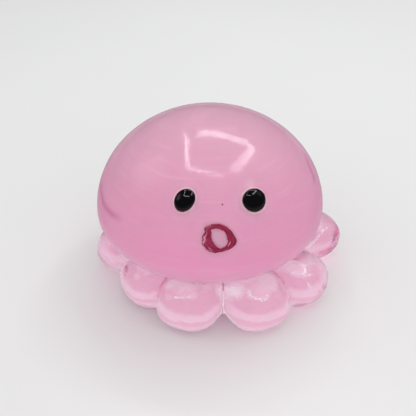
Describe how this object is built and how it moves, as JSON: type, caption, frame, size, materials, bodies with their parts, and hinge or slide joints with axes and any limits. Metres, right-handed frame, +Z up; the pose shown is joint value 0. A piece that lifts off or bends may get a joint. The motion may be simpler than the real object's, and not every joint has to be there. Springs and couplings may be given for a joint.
{
  "type": "octopus squeeze toy",
  "caption": "Soft octopus squeeze toy: domed gel-filled head with a simple face on a ring of rounded jelly legs.",
  "frame": {"origin": "middle of the footprint, on the table", "axes": "+Z up, the face looks towards -Y, +X to the right as seen from the front"},
  "size_m": [0.0934, 0.0814, 0.067],
  "materials": {
    "head_rubber": "glossy milky translucent",
    "soft_gel": "milky soft gel",
    "base_rubber": "glossy translucent",
    "plug_rubber": "satin",
    "leg_jelly": "clear glossy jelly",
    "eye_gloss": "wet gloss",
    "mouth_paint": "brushed satin"
  },
  "bodies": {
    "base": {"base_web": "base_rubber", "filler_plug": "plug_rubber"},
    "head": {"head_skin": "head_rubber", "gel_fill": "soft_gel", "eye_left": "eye_gloss", "eye_right": "eye_gloss", "mouth_ring": "mouth_paint"},
    "leg_left_1": {"leg_left_1": "leg_jelly"},
    "leg_left_2": {"leg_left_2": "leg_jelly"},
    "leg_left_3": {"leg_left_3": "leg_jelly"},
    "leg_left_4": {"leg_left_4": "leg_jelly"},
    "leg_right_1": {"leg_right_1": "leg_jelly"},
    "leg_right_2": {"leg_right_2": "leg_jelly"},
    "leg_right_3": {"leg_right_3": "leg_jelly"},
    "leg_right_4": {"leg_right_4": "leg_jelly"}
  },
  "joints": [
    {"name": "head_squeeze", "type": "slide", "parent": "base", "child": "head", "axis": [0, 0, -1], "range_m": [0, 0.013], "stiffness_N_per_m": 900, "springref_m": -0.004, "deforming": ["head_skin", "gel_fill"]},
    {"name": "leg_left_1_swing", "type": "hinge", "parent": "base", "child": "leg_left_1", "pos_m": [-0.00894, -0.02306, 0.026], "axis": [-0.9205, 0.3907, 0], "range_deg": [0, 15], "stiffness_Nm_per_rad": 0.05, "springref_deg": -3.44},
    {"name": "leg_left_2_swing", "type": "hinge", "parent": "base", "child": "leg_left_2", "pos_m": [-0.02029, -0.01269, 0.026], "axis": [-0.5, 0.866, 0], "range_deg": [0, 15], "stiffness_Nm_per_rad": 0.05, "springref_deg": -3.44},
    {"name": "leg_left_3_swing", "type": "hinge", "parent": "base", "child": "leg_left_3", "pos_m": [-0.027, 0.00323, 0.026], "axis": [0.1392, 0.9903, 0], "range_deg": [0, 15], "stiffness_Nm_per_rad": 0.05, "springref_deg": -3.44},
    {"name": "leg_left_4_swing", "type": "hinge", "parent": "base", "child": "leg_left_4", "pos_m": [-0.01337, 0.02083, 0.026], "axis": [0.8387, 0.5446, 0], "range_deg": [0, 15], "stiffness_Nm_per_rad": 0.05, "springref_deg": -3.44},
    {"name": "leg_right_1_swing", "type": "hinge", "parent": "base", "child": "leg_right_1", "pos_m": [0.01009, -0.02306, 0.026], "axis": [-0.9205, -0.3907, 0], "range_deg": [0, 15], "stiffness_Nm_per_rad": 0.05, "springref_deg": -3.44},
    {"name": "leg_right_2_swing", "type": "hinge", "parent": "base", "child": "leg_right_2", "pos_m": [0.0223, -0.01219, 0.026], "axis": [-0.4695, -0.8829, 0], "range_deg": [0, 15], "stiffness_Nm_per_rad": 0.05, "springref_deg": -3.44},
    {"name": "leg_right_3_swing", "type": "hinge", "parent": "base", "child": "leg_right_3", "pos_m": [0.02704, 0.00952, 0.026], "axis": [0.3584, -0.9336, 0], "range_deg": [0, 15], "stiffness_Nm_per_rad": 0.05, "springref_deg": -3.44},
    {"name": "leg_right_4_swing", "type": "hinge", "parent": "base", "child": "leg_right_4", "pos_m": [0.00933, 0.02341, 0.026], "axis": [0.9397, -0.342, 0], "range_deg": [0, 15], "stiffness_Nm_per_rad": 0.05, "springref_deg": -3.44}
  ]
}
